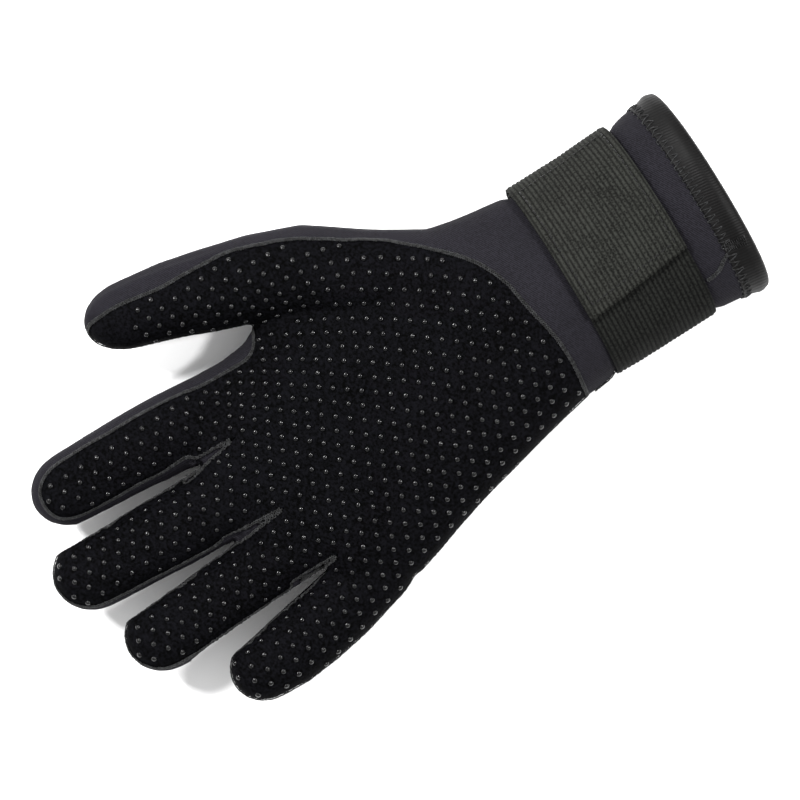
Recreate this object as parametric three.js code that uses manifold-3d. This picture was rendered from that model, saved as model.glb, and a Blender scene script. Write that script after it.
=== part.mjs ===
// Diving glove for the right hand: neoprene shell, open at the cuff, lying on its back, palm up.
// Millimetres, +Z up, +Y to the fingertips, +X to the thumb.
import * as THREE from 'three';
import { mergeVertices } from 'three/addons/utils/BufferGeometryUtils.js';
import Module from 'manifold-3d';

const wasm = await Module();
wasm.setup();

// Sizes of the hand part
const handLength = 184.3;
const handSpread = 148;
const palmDepth = 40;
const flatShare = 0.05;

// Sizes of the sleeve
const sleeveLength = 71.2;
const cuffWidth = 73;
const wristDepth = 46;

// Neoprene wall, and the gap left between pieces that touch
const wall = 2.5;
const gap = 0.3;

// Overlock seams
const seamWidth = 2.6;
const seamHeight = 0.5;

// Elastic strap, and how far it stands out of the sleeve that it squeezes
const strapStart = 20.1;
const strapWidth = 38.5;
const strapThickness = 1.5;
const bandBulge = 0.8;
const squeezeRamp = 2.2;

// Outer end of the strap, from the back of the thumb side to the middle of the palm side
const tabThickness = 1.5;
const tabStart = THREE.MathUtils.degToRad(-28);
const tabEnd = THREE.MathUtils.degToRad(110);
const tabSlant = THREE.MathUtils.degToRad(6);
const tabSteps = 18;

// Binding folded over the cuff rim
const bindingWidth = 7;
const bindingThickness = 1.2;
const foldSteps = 4;

// Facets
const bodySides = 34;
const digitSides = 16;
const domeSteps = 4;
const sliver = 0.05;
const cutterHeight = 70;
const cutterReach = 60;

// Sleeve, from the cuff rim to the heel of the hand.
// at: share of sleeveLength; left, right: of cuffWidth; deep: of wristDepth
const sleeveRows = [
  { at: 0.0, left: -0.558, right: 0.458, deep: 1.022 },
  { at: 0.093, left: -0.553, right: 0.455, deep: 1.022 },
  { at: 0.205, left: -0.542, right: 0.441, deep: 1.0 },
  { at: 0.29, left: -0.534, right: 0.414, deep: 0.978 },
  { at: 0.556, left: -0.535, right: 0.4, deep: 0.957 },
  { at: 0.795, left: -0.542, right: 0.396, deep: 0.946 },
  { at: 0.88, left: -0.547, right: 0.414, deep: 0.935 },
  { at: 1.0, left: -0.562, right: 0.427, deep: 0.924 },
];

// Palm, from the heel to the webs between the fingers.
// at: share of handLength from the heel; left, right: of handSpread; deep, mid: of palmDepth
const palmRows = [
  { at: 0.051, left: -0.291, right: 0.221, deep: 1.038, mid: 0.493 },
  { at: 0.116, left: -0.31, right: 0.24, deep: 1.012, mid: 0.481 },
  { at: 0.181, left: -0.331, right: 0.25, deep: 0.975, mid: 0.463 },
  { at: 0.246, left: -0.352, right: 0.243, deep: 0.938, mid: 0.445 },
  { at: 0.311, left: -0.375, right: 0.256, deep: 0.9, mid: 0.428 },
  { at: 0.377, left: -0.402, right: 0.273, deep: 0.85, mid: 0.404 },
  { at: 0.42, left: -0.419, right: 0.266, deep: 0.812, mid: 0.386 },
  { at: 0.447, left: -0.417, right: 0.249, deep: 0.787, mid: 0.374 },
  { at: 0.48, left: -0.418, right: 0.229, deep: 0.762, mid: 0.362 },
  { at: 0.528, left: -0.401, right: 0.223, deep: 0.725, mid: 0.344 },
  { at: 0.561, left: -0.341, right: 0.221, deep: 0.7, mid: 0.333 },
  { at: 0.594, left: -0.307, right: 0.219, deep: 0.675, mid: 0.321 },
  { at: 0.637, left: -0.297, right: 0.212, deep: 0.637, mid: 0.303 },
  { at: 0.664, left: -0.276, right: 0.192, deep: 0.475, mid: 0.312 },
  { at: 0.68, left: -0.243, right: 0.162, deep: 0.2, mid: 0.325 },
];

// Fingers and thumb, each from inside the palm to where its round tip starts.
// x: share of handSpread; at: of handLength; z: of palmDepth; wide, deep: of the digit's own size.
// seamLeft, seamRight: height of the palm panel's edge at the two sides, in half depths
const digits = [
  {
    name: 'index', width: 26.6, depth: 24.5, tip: 14, seamLeft: 0.66, seamRight: 0.8,
    openLeft: false, openRight: true, cutFrom: 0,
    rows: [
      { x: 0.128, at: 0.409, z: 0.35, wide: 0.977, deep: 1.061 },
      { x: 0.141, at: 0.589, z: 0.325, wide: 0.947, deep: 1.041 },
      { x: 0.142, at: 0.638, z: 0.325, wide: 1.008, deep: 1.02 },
      { x: 0.146, at: 0.703, z: 0.338, wide: 1.023, deep: 1.0 },
      { x: 0.15, at: 0.762, z: 0.362, wide: 0.992, deep: 0.959 },
      { x: 0.153, at: 0.881, z: 0.463, wide: 0.94, deep: 0.878 },
    ],
  },
  {
    name: 'middle', width: 27.4, depth: 25, tip: 13.4, seamLeft: 0.55, seamRight: 0,
    openLeft: false, openRight: false, cutFrom: 0,
    rows: [
      { x: -0.034, at: 0.409, z: 0.35, wide: 0.985, deep: 1.08 },
      { x: -0.038, at: 0.589, z: 0.33, wide: 1.044, deep: 1.04 },
      { x: -0.048, at: 0.68, z: 0.338, wide: 1.018, deep: 1.0 },
      { x: -0.047, at: 0.762, z: 0.362, wide: 0.971, deep: 0.98 },
      { x: -0.041, at: 0.843, z: 0.412, wide: 0.953, deep: 0.94 },
      { x: -0.033, at: 0.927, z: 0.487, wide: 0.956, deep: 0.88 },
    ],
  },
  {
    name: 'ring', width: 25.6, depth: 24, tip: 13, seamLeft: 0.55, seamRight: 0,
    openLeft: false, openRight: false, cutFrom: 0,
    rows: [
      { x: -0.196, at: 0.409, z: 0.338, wide: 1.016, deep: 1.083 },
      { x: -0.217, at: 0.583, z: 0.32, wide: 0.961, deep: 1.062 },
      { x: -0.224, at: 0.627, z: 0.32, wide: 0.984, deep: 1.042 },
      { x: -0.233, at: 0.708, z: 0.345, wide: 0.977, deep: 1.0 },
      { x: -0.237, at: 0.79, z: 0.388, wide: 1.008, deep: 0.958 },
      { x: -0.235, at: 0.878, z: 0.463, wide: 0.992, deep: 0.896 },
    ],
  },
  {
    name: 'little', width: 25, depth: 22.5, tip: 12.5, seamLeft: 0.1, seamRight: 0,
    openLeft: true, openRight: false, cutFrom: 0,
    rows: [
      { x: -0.277, at: 0.327, z: 0.36, wide: 0.8, deep: 1.0 },
      { x: -0.361, at: 0.49, z: 0.32, wide: 1.016, deep: 1.089 },
      { x: -0.39, at: 0.572, z: 0.32, wide: 1.008, deep: 1.044 },
      { x: -0.406, at: 0.638, z: 0.345, wide: 1.004, deep: 1.0 },
      { x: -0.417, at: 0.703, z: 0.388, wide: 0.976, deep: 0.956 },
      { x: -0.418, at: 0.749, z: 0.425, wide: 0.92, deep: 0.911 },
    ],
  },
  {
    name: 'thumb', width: 28.5, depth: 27, tip: 17.5, seamLeft: -0.3, seamRight: 0.95,
    openLeft: true, openRight: true, cutFrom: 1,
    rows: [
      { x: 0.094, at: 0.084, z: 0.5, wide: 1.193, deep: 1.333 },
      { x: 0.212, at: 0.233, z: 0.512, wide: 1.158, deep: 1.259 },
      { x: 0.301, at: 0.323, z: 0.525, wide: 1.088, deep: 1.148 },
      { x: 0.339, at: 0.399, z: 0.545, wide: 1.039, deep: 1.056 },
      { x: 0.367, at: 0.475, z: 0.57, wide: 0.989, deep: 0.981 },
      { x: 0.395, at: 0.551, z: 0.6, wide: 0.916, deep: 0.907 },
      { x: 0.413, at: 0.615, z: 0.63, wide: 0.835, deep: 0.844 },
    ],
  },
];

// Edge of the palm panel over the palm itself, from the little-finger corner round the heel to the
// thumb, back inside it to the crotch, and across the ends of the short folds between the fingers.
// x: share of handSpread; at: of handLength from the heel
const palmEdge = [
  { x: -0.256, at: -0.001 },
  { x: -0.19, at: -0.004 },
  { x: -0.128, at: -0.001 },
  { x: -0.08, at: 0.007 },
  { x: -0.034, at: 0.015 },
  { x: 0.02, at: 0.021 },
  { x: 0.07, at: 0.034 },
  { x: 0.11, at: 0.052 },
  { x: 0.15, at: 0.077 },
  { x: 0.2, at: 0.118 },
  { x: 0.25, at: 0.163 },
  { x: 0.29, at: 0.211 },
  { x: 0.31, at: 0.256 },
  { x: 0.28, at: 0.312 },
  { x: 0.243, at: 0.382 },
  { x: 0.243, at: 0.447 },
  { x: 0.148, at: 0.496 },
  { x: 0.058, at: 0.589 },
  { x: -0.135, at: 0.58 },
  { x: -0.285, at: 0.545 },
];

// Height of the palm panel's edge along the little-finger side of the palm.
// at: share of handLength from the heel; z: of palmDepth
const palmEdgeLevel = [
  { at: -0.124, z: 0.53 },
  { at: 0.017, z: 0.52 },
  { at: 0.228, z: 0.44 },
  { at: 0.438, z: 0.38 },
  { at: 0.579, z: 0.35 },
  { at: 1.001, z: 0.35 },
];

// Seam of the sleeve. at: share of sleeveLength; turn: degrees round the section from the thumb side
const wristSeamRows = [
  { at: -0.2, turn: 113 },
  { at: 0.0, turn: 117 },
  { at: 0.124, turn: 124.5 },
  { at: 0.288, turn: 138 },
  { at: 0.56, turn: 160 },
  { at: 0.82, turn: 176 },
  { at: 1.3, turn: 178 },
];

// Value of one column between the rows of a table, as a smooth curve through them
function between(rows, key, column, at) {
  const last = rows.length - 1;
  const slope = (i) => {
    const a = rows[Math.max(i - 1, 0)];
    const b = rows[Math.min(i + 1, last)];
    return (b[column] - a[column]) / (b[key] - a[key]);
  };
  if (at <= rows[0][key]) return rows[0][column];
  if (at >= rows[last][key]) return rows[last][column];
  const i = rows.findIndex((row) => row[key] > at) - 1;
  const span = rows[i + 1][key] - rows[i][key];
  const t = (at - rows[i][key]) / span;
  const start = rows[i][column] * (1 + 2 * t) * (1 - t) ** 2;
  const end = rows[i + 1][column] * t * t * (3 - 2 * t);
  return start + end + span * t * (1 - t) * (slope(i) * (1 - t) - slope(i + 1) * t);
}

// A closed solid from triangles, turned outward
function solidFrom(points, faces) {
  const volume = faces.reduce((sum, [a, b, c]) => (
    sum + points[a].dot(points[b].clone().cross(points[c]))), 0);
  const geometry = new THREE.BufferGeometry().setFromPoints(points);
  geometry.setIndex(faces.flatMap(([a, b, c]) => (volume > 0 ? [a, b, c] : [a, c, b])));
  return solidOf(geometry);
}

// A closed solid from a geometry, once its shared corners are merged
function solidOf(geometry) {
  geometry.deleteAttribute('normal');
  geometry.deleteAttribute('uv');
  const merged = mergeVertices(geometry, 1e-4);
  return new wasm.Manifold(new wasm.Mesh({
    numProp: 3,
    vertProperties: new Float32Array(merged.attributes.position.array),
    triVerts: new Uint32Array(merged.index.array),
  }));
}

// A skin through rings of points. It ends in a point or a flat cap, or closes on itself
function loft(rings, { start = null, end = null, loop = false } = {}) {
  const sides = rings[0].length;
  const points = rings.flat();
  const faces = [];
  const joins = loop ? rings.length : rings.length - 1;
  for (let i = 0; i < joins; i += 1) {
    const low = i * sides;
    const high = ((i + 1) % rings.length) * sides;
    for (let j = 0; j < sides; j += 1) {
      const next = (j + 1) % sides;
      faces.push([low + j, high + j, low + next], [low + next, high + j, high + next]);
    }
  }
  const cap = (ring, offset, tip, flip) => {
    const centre = new THREE.Vector3();
    ring.forEach((point) => centre.addScaledVector(point, 1 / sides));
    points.push(tip ?? centre);
    for (let j = 0; j < sides; j += 1) {
      const pair = [offset + j, offset + (j + 1) % sides];
      faces.push([points.length - 1, ...(flip ? pair.reverse() : pair)]);
    }
  };
  if (!loop) {
    cap(rings[0], 0, start, false);
    cap(rings[rings.length - 1], (rings.length - 1) * sides, end, true);
  }
  return solidFrom(points, faces);
}

// Rounded-square curve: power 2 is an ellipse, more is squarer
function rounded(angle, power) {
  const bend = (value) => Math.sign(value) * Math.abs(value) ** (2 / power);
  return { u: bend(Math.cos(angle)), v: bend(Math.sin(angle)) };
}

// How far the strap and the binding squeeze the sleeve, at a place along it
const strapPress = gap + strapThickness - bandBulge;
const bindingPress = gap + bindingThickness - bandBulge;
const strapEnd = strapStart + strapWidth;

function squeeze(y) {
  const near = (edge, side) => THREE.MathUtils.clamp(1 - (side * (y - edge)) / squeezeRamp, 0, 1);
  const strap = Math.min(near(strapStart - gap, -1), near(strapEnd + gap, 1));
  return Math.max(strap * strapPress, near(bindingWidth + gap, 1) * bindingPress);
}

// A place along the hand, from its share of the hand's length
function handPlace(at) {
  return sleeveLength + at * handLength;
}

// Rows of the sleeve and palm in millimetres
const bodyPower = { sleeve: 2.1, palm: 2.6 };
const bodyRows = [
  ...sleeveRows.map((row) => ({
    y: row.at * sleeveLength,
    left: row.left * cuffWidth,
    right: row.right * cuffWidth,
    deep: row.deep * wristDepth,
    mid: (row.deep * wristDepth * (1 - flatShare)) / 2,
    lift: bandBulge,
    power: bodyPower.sleeve,
  })),
  ...palmRows.map((row) => ({
    y: handPlace(row.at),
    left: row.left * handSpread,
    right: row.right * handSpread,
    deep: row.deep * palmDepth,
    mid: row.mid * palmDepth,
    lift: 0,
    power: bodyPower.palm,
  })),
];
const bodyEnd = bodyRows[bodyRows.length - 1].y;

// A point of the sleeve and palm, grow outside their surface, flattened where the glove rests
function bodyPoint(y, angle, grow) {
  const value = (column) => between(bodyRows, 'y', column, y);
  const out = grow - squeeze(y);
  const { u, v } = rounded(angle, value('power'));
  const halfDepth = (value('deep') * (1 + flatShare)) / 2;
  const x = (value('left') + value('right')) / 2
    + u * Math.max((value('right') - value('left')) / 2 + out, 0.5);
  const z = value('mid') + v * Math.max(halfDepth + out, 0.5);
  return new THREE.Vector3(x, y, Math.max(z, value('lift') - out));
}

function bodyRing(y, grow) {
  const step = (2 * Math.PI) / bodySides;
  return Array.from({ length: bodySides }, (_, i) => bodyPoint(y, i * step, grow));
}

// Places along the body where its skin has a ring
const sleeveStart = gap + bindingThickness;
const bodyPlaces = [
  bindingWidth + gap,
  bindingWidth + gap + squeezeRamp,
  (bindingWidth + strapStart) / 2,
  strapStart - gap - squeezeRamp,
  strapStart - gap,
  (strapStart + strapEnd) / 2,
  strapEnd + gap,
  strapEnd + gap + squeezeRamp,
  sleeveLength,
  ...bodyRows.slice(sleeveRows.length).map((row) => row.y),
];

function bodySolid(grow, from) {
  const places = [from, ...bodyPlaces.slice(0, -1), bodyEnd + Math.min(grow, 0)];
  return loft(places.map((y) => {
    const ring = bodyRing(Math.min(y, bodyEnd), grow);
    return ring.map((point) => point.setY(y));
  }));
}

// Rows of a digit in millimetres, its round tip included
function digitRows(digit, grow) {
  const rows = digit.rows.map((row) => ({
    centre: new THREE.Vector3(row.x * handSpread, handPlace(row.at), row.z * palmDepth),
    half: (row.wide * digit.width) / 2,
    rise: (row.deep * digit.depth) / 2,
  }));
  const last = rows[rows.length - 1];
  const heading = last.centre.clone().sub(rows[rows.length - 2].centre).normalize();
  for (let i = 1; i <= domeSteps; i += 1) {
    const angle = (i / (domeSteps + 0.6)) * (Math.PI / 2);
    rows.push({
      centre: last.centre.clone().addScaledVector(heading, (digit.tip + grow) * Math.sin(angle)),
      half: (last.half + grow) * Math.cos(angle) - grow,
      rise: (last.rise + grow) * Math.cos(angle) - grow,
    });
  }
  rows.forEach((row, i) => {
    const a = rows[Math.max(i - 1, 0)].centre;
    const b = rows[Math.min(i + 1, rows.length - 1)].centre;
    const along = b.clone().sub(a).setZ(0).normalize();
    row.across = new THREE.Vector3(along.y, -along.x, 0);
  });
  const tip = last.centre.clone().addScaledVector(heading, digit.tip + grow);
  return { rows, tip };
}

const digitPower = 2.2;

// The digits' flat underside stays this far above the palm's, so that the two share no face
const digitLift = 0.1;

function digitSolid(digit, grow) {
  const { rows, tip } = digitRows(digit, grow);
  const rings = rows.map((row) => Array.from({ length: digitSides }, (_, i) => {
    const { u, v } = rounded((i * 2 * Math.PI) / digitSides, digitPower);
    const point = row.centre.clone().addScaledVector(row.across, u * (row.half + grow));
    point.z = Math.max(point.z + v * (row.rise + grow), digitLift - grow);
    return point;
  }));
  return loft(rings, { end: tip });
}

// The whole glove's outside, or its hollow
function gloveForm(grow, from) {
  return digits.reduce((form, digit) => form.add(digitSolid(digit, grow)), bodySolid(grow, from));
}

// Space over a digit's palm side, down to its panel edge moved inward by inset. It reaches only a
// little way towards the next finger, whose own edge is at another height
const neighbourShare = 0.4;

// Its rows stand between the digit's own, so that no two edges meet
const rowShift = 0.45;

function digitCutter(digit, inset) {
  const { rows, tip } = digitRows(digit, 0);
  const heading = tip.clone().sub(rows[rows.length - 1].centre).normalize();
  const first = rows[digit.cutFrom];
  const inward = rows[digit.cutFrom + 1].centre.clone().sub(first.centre).normalize();
  const ends = rows.slice(digit.cutFrom, digit.rows.length - 1).map((row, i) => {
    const next = rows[digit.cutFrom + i + 1];
    return {
      centre: row.centre.clone().lerp(next.centre, rowShift),
      across: row.across.clone().lerp(next.across, rowShift).normalize(),
      half: THREE.MathUtils.lerp(row.half, next.half, rowShift),
      rise: THREE.MathUtils.lerp(row.rise, next.rise, rowShift),
    };
  });
  ends.unshift({ ...first, centre: first.centre.clone().addScaledVector(inward, inset) });
  const last = rows[digit.rows.length - 1];
  ends.push({ ...last, centre: tip.clone().addScaledVector(heading, seamWidth) });
  const tuck = inset > 0 ? inset : inset * neighbourShare;
  const reach = (row, open) => row.half + (open ? seamWidth : 0) - tuck;
  return loft(ends.map((row) => {
    const rim = (side, open) => {
      const u = side * reach(row, open);
      const share = (u / row.half + 1) / 2;
      const level = digit.seamLeft + (digit.seamRight - digit.seamLeft) * share;
      return row.centre.clone().addScaledVector(row.across, u).setZ(
        row.centre.z + level * row.rise + inset);
    };
    const left = rim(-1, digit.openLeft);
    const right = rim(1, digit.openRight);
    const top = row.centre.z + cutterHeight;
    return [left, right, right.clone().setZ(top), left.clone().setZ(top)];
  }));
}

// Space over the palm, down to its panel edge moved inward by inset
function palmCutter(inset) {
  const line = palmEdge.map(({ x, at }) => new THREE.Vector2(x * handSpread, handPlace(at)));
  const outside = -handSpread / 2 - cutterReach;
  line.unshift(new THREE.Vector2(outside, line[0].y));
  line.push(new THREE.Vector2(outside, line[line.length - 1].y));
  const moved = line.map((point, i) => {
    const a = line[Math.max(i - 1, 0)];
    const b = line[Math.min(i + 1, line.length - 1)];
    const along = b.clone().sub(a).normalize();
    return new THREE.Vector2(point.x - along.y * inset, point.y + along.x * inset);
  });
  const prism = new THREE.ExtrudeGeometry(new THREE.Shape(moved), {
    depth: 2 * cutterHeight, bevelEnabled: false,
  });
  const above = loft(palmEdgeLevel.map((row) => {
    const level = row.z * palmDepth + inset;
    const corners = [[-1, level], [1, level], [1, level + cutterHeight], [-1, level + cutterHeight]];
    return corners.map(([side, z]) => (
      new THREE.Vector3(side * (handSpread + cutterReach), handPlace(row.at), z)));
  }));
  return solidOf(prism).intersect(above);
}

function palmSide(inset) {
  return digits.reduce((space, digit) => space.add(digitCutter(digit, inset)), palmCutter(inset));
}

// A wedge out of the sleeve's middle that follows the wrist seam
function wristSeamCutter(halfWidth) {
  return loft(wristSeamRows.map((row) => {
    const y = row.at * sleeveLength;
    const place = THREE.MathUtils.clamp(y, sleeveStart, sleeveLength);
    const turn = THREE.MathUtils.degToRad(row.turn);
    const centre = bodyPoint(place, 0, 0).add(bodyPoint(place, Math.PI, 0)).multiplyScalar(0.5);
    const nudge = 0.02;
    const speed = bodyPoint(place, turn + nudge, 0).distanceTo(bodyPoint(place, turn, 0)) / nudge;
    const swing = halfWidth / speed;
    const corner = (angle, share) => (
      centre.clone().lerp(bodyPoint(place, angle, 0), share).setY(y));
    return [
      corner(turn - swing, 0.5), corner(turn - swing, 1.5),
      corner(turn + swing, 1.5), corner(turn + swing, 0.5),
    ];
  }));
}

// A band around the sleeve from its profile of { y, out } points, whole or from one angle to another
function band(profile, { from = 0, to = 2 * Math.PI, slant = 0, steps = bodySides } = {}) {
  const whole = to - from >= 2 * Math.PI - 1e-6;
  const count = whole ? steps : steps + 1;
  const rings = Array.from({ length: count }, (_, i) => {
    const angle = from + ((to - from) * i) / steps;
    return profile.map(({ y, out, at = y }) => {
      const lean = slant * (i / steps) * ((y - strapStart) / strapWidth - 0.5);
      return bodyPoint(at, angle + lean, out).setY(y);
    });
  });
  return loft(rings, { loop: whole });
}

// Profile of a flat webbing band, its corners taken off
function webbing(inner, thickness) {
  const soft = thickness / 4;
  const outer = inner + thickness;
  const middle = (strapStart + strapEnd) / 2;
  return [
    { y: strapStart + soft, out: inner }, { y: middle, out: inner },
    { y: strapEnd - soft, out: inner }, { y: strapEnd, out: inner + soft },
    { y: strapEnd, out: outer - soft }, { y: strapEnd - soft, out: outer },
    { y: middle, out: outer }, { y: strapStart + soft, out: outer },
    { y: strapStart, out: outer - soft }, { y: strapStart, out: inner + soft },
  ];
}

// Profile of the binding: outer leg, fold around the rim, inner leg
function bindingProfile() {
  const outer = gap + bindingThickness;
  const centre = -wall / 2;
  const reach = outer + wall / 2;
  const soft = bindingThickness / 3;
  const fold = Array.from({ length: foldSteps + 1 }, (_, i) => {
    const angle = (i / foldSteps) * Math.PI;
    return {
      y: sleeveStart * (1 - Math.sin(angle)), at: bindingWidth / 2,
      out: centre + reach * Math.cos(angle),
    };
  });
  return [
    { y: sleeveStart - gap, at: bindingWidth / 2, out: gap },
    { y: bindingWidth, out: gap },
    { y: bindingWidth, out: outer - soft },
    { y: bindingWidth - soft, out: outer },
    ...fold,
    { y: bindingWidth - soft, out: -wall - outer },
    { y: bindingWidth, out: soft - wall - outer },
    { y: bindingWidth, out: -wall - gap },
    { y: sleeveStart - gap, at: bindingWidth / 2, out: -wall - gap },
  ];
}

// Room around the sleeve that the strap and the binding need, so that the seam lies flat there
function bandRoom() {
  const room = (from, to) => {
    const profile = [
      { y: from, at: (from + to) / 2, out: 0 }, { y: to, at: (from + to) / 2, out: 0 },
      { y: to, at: (from + to) / 2, out: 4 * seamHeight },
      { y: from, at: (from + to) / 2, out: 4 * seamHeight },
    ];
    return band(profile);
  };
  return room(-bindingWidth, bindingWidth + gap).add(room(strapStart - gap, strapEnd + gap));
}

// The largest piece of a cut solid, without the crumbs and slivers that cutting leaves
function mainPiece(solid) {
  const largest = (whole) => whole.decompose().sort((a, b) => b.volume() - a.volume())[0];
  return largest(largest(solid).asOriginal().simplify(sliver));
}

const outside = gloveForm(0, sleeveStart);
const hollow = gloveForm(-wall, -bindingWidth);
const shell = outside.subtract(hollow);
const proudShell = gloveForm(seamHeight, sleeveStart).subtract(hollow);

const half = seamWidth / 2;
const seamBand = palmSide(-half).subtract(palmSide(half));
const beyondSeam = palmSide(-half - gap);

const pieces = {
  back_panel: mainPiece(shell.subtract(beyondSeam).subtract(wristSeamCutter(half + gap))),
  palm_panel: mainPiece(shell.intersect(palmSide(half + gap))),
  palm_seam: mainPiece(proudShell.intersect(seamBand)),
  wrist_seam: mainPiece(proudShell.intersect(wristSeamCutter(half))
    .subtract(beyondSeam).subtract(bandRoom())),
  cuff_binding: band(bindingProfile()),
  wrist_strap: band(webbing(gap, strapThickness)),
  strap_tab: band(webbing(2 * gap + strapThickness, tabThickness), {
    from: tabStart, to: tabEnd, slant: tabSlant, steps: tabSteps,
  }),
};

const finishes = {
  back_panel: { color: 0x2b2a33, roughness: 0.85 },
  palm_panel: { color: 0x101014, roughness: 0.9 },
  palm_seam: { color: 0x444646, roughness: 0.9 },
  wrist_seam: { color: 0x3c3e3e, roughness: 0.9 },
  cuff_binding: { color: 0x17171a, roughness: 0.6 },
  wrist_strap: { color: 0x2b2d2a, roughness: 0.8 },
  strap_tab: { color: 0x343632, roughness: 0.8 },
};

// A named mesh of one piece
function meshOf(name, solid) {
  const { vertProperties, triVerts } = solid.getMesh();
  const geometry = new THREE.BufferGeometry();
  geometry.setAttribute('position', new THREE.BufferAttribute(new Float32Array(vertProperties), 3));
  geometry.setIndex(new THREE.BufferAttribute(new Uint32Array(triVerts), 1));
  geometry.computeVertexNormals();
  const material = new THREE.MeshStandardMaterial({ ...finishes[name], metalness: 0 });
  const mesh = new THREE.Mesh(geometry, material);
  mesh.name = name;
  return mesh;
}

const glove = new THREE.Group();
glove.name = 'diving_glove';
Object.entries(pieces).forEach(([name, solid]) => glove.add(meshOf(name, solid)));

// The origin is the middle of the glove's footprint on the surface it lies on
const extent = new THREE.Box3().setFromObject(glove);
const middle = extent.getCenter(new THREE.Vector3());
glove.position.set(-middle.x, -middle.y, -extent.min.z);
glove.updateMatrixWorld(true);

export default glove;
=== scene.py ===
import math
import random

import bmesh
import bpy
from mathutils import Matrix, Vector, noise
from mathutils.bvhtree import BVHTree
from mathutils.kdtree import KDTree


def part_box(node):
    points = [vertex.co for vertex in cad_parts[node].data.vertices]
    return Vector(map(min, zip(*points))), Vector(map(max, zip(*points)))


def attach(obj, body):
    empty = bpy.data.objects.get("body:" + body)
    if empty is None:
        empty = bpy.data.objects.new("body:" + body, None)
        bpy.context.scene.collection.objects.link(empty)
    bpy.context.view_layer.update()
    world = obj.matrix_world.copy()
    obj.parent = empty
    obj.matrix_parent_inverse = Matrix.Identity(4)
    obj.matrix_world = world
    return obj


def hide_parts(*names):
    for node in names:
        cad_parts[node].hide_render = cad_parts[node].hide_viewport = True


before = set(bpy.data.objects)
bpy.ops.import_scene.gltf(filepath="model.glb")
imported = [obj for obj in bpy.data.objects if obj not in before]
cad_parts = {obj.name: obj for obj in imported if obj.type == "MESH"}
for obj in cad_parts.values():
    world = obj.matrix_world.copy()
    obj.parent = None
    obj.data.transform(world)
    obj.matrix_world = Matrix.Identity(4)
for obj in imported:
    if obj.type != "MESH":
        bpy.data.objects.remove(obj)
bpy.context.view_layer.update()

# Camera and studio: the glove lies palm up on a pale table and is seen from straight above.
# Soft boxes stand left, right and above it in the picture, and a white room fills in.
CAMERA_TURN = -121.5
camera = bpy.data.objects.new("camera", bpy.data.cameras.new("camera"))
camera.data.lens = 108
camera.data.sensor_width = 36
camera.data.clip_start = 0.01
camera.location = (-0.00909, -0.00284, 0.820)
camera.rotation_euler = (0, 0, math.radians(CAMERA_TURN))
bpy.context.scene.collection.objects.link(camera)
bpy.context.scene.camera = camera
PICTURE_RIGHT = Vector((-0.5225, -0.8526, 0))
PICTURE_UP = Vector((0.8526, -0.5225, 0))


def linear(hex_colour):
    """An sRGB hex colour as the linear colour that a shader takes."""
    parts = [int(hex_colour[i:i + 2], 16) / 255 for i in (1, 3, 5)]
    return (*[c / 12.92 if c <= 0.04045 else ((c + 0.055) / 1.055) ** 2.4 for c in parts], 1)


def add_node(tree, kind, inputs=None, **settings):
    """Adds a node with its settings, and fills its sockets with values or links."""
    node = tree.nodes.new(kind)
    for name, value in settings.items():
        setattr(node, name, value)
    for socket, value in (inputs or {}).items():
        if isinstance(value, bpy.types.NodeSocket):
            tree.links.new(value, node.inputs[socket])
        else:
            node.inputs[socket].default_value = value
    return node


def new_material(name):
    """An empty material and its node tree."""
    material = bpy.data.materials.new(name)
    material.use_nodes = True
    material.node_tree.nodes.clear()
    return material, material.node_tree


def soft_box(name, right, up, height, size, power):
    """A square soft light at a place in the picture's directions, turned to the glove."""
    light = bpy.data.objects.new(name, bpy.data.lights.new(name, "AREA"))
    light.data.size = size
    light.data.energy = power
    light.location = PICTURE_RIGHT * right + PICTURE_UP * up + Vector((0, 0, height))
    light.rotation_euler = (-light.location).to_track_quat("-Z", "Y").to_euler()
    bpy.context.scene.collection.objects.link(light)


# Place in metres to the picture's right, up in the picture and above the table, size, watts
soft_box("soft_box_left", -0.58, 0.30, 0.85, 0.14, 14)
soft_box("soft_box_right", 0.64, 0.10, 0.85, 0.12, 9)
soft_box("soft_box_above", -0.25, 0.85, 0.80, 0.70, 6)

room = bpy.data.worlds.new("white_room")
room.use_nodes = True
room.node_tree.nodes["Background"].inputs["Color"].default_value = (1, 1, 1, 1)
room.node_tree.nodes["Background"].inputs["Strength"].default_value = 0.85
bpy.context.scene.world = room
# The filmic transform would lift the blacks of the neoprene to grey
bpy.context.scene.view_settings.view_transform = "Standard"

table = bmesh.new()
bmesh.ops.create_grid(table, x_segments=1, y_segments=1, size=2.0)
table_mesh = bpy.data.meshes.new("table_top")
table.to_mesh(table_mesh)
table.free()
floor = bpy.data.objects.new("table_top", table_mesh)
bpy.context.scene.collection.objects.link(floor)
laminate, tree = new_material("white_laminate")
place = add_node(tree, "ShaderNodeTexCoord")
mottle = add_node(tree, "ShaderNodeTexNoise", {"Vector": place.outputs["Object"], "Scale": 30.0})
tone = add_node(tree, "ShaderNodeMapRange", {
    "Value": mottle.outputs["Fac"], "To Min": 0.55, "To Max": 0.65})
surface = add_node(tree, "ShaderNodeBsdfPrincipled", {
    "Base Color": linear("#fdfdfd"), "Roughness": tone.outputs["Result"],
    "Specular IOR Level": 0.2})
add_node(tree, "ShaderNodeOutputMaterial", {"Surface": surface.outputs["BSDF"]})
floor.data.materials.append(laminate)

# The two neoprene panels: foam rubber 2.5 mm thick with a knitted nylon face, cut flat and sewn
# edge to edge. The charcoal one is the back of the hand and the sleeve, the black one the palm.
# They are one filled-out skin, pulled in a little where the seam holds them.
VOXEL = 0.0005
SOFTENING = 32
TRIANGLES = 130000
# The solids are fattened by this much before they are fused, which closes the 0.3 mm between
# them, and the skin is taken back by as much.
CLOSING = 0.00026
RIM_CUT = 0.001
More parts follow.
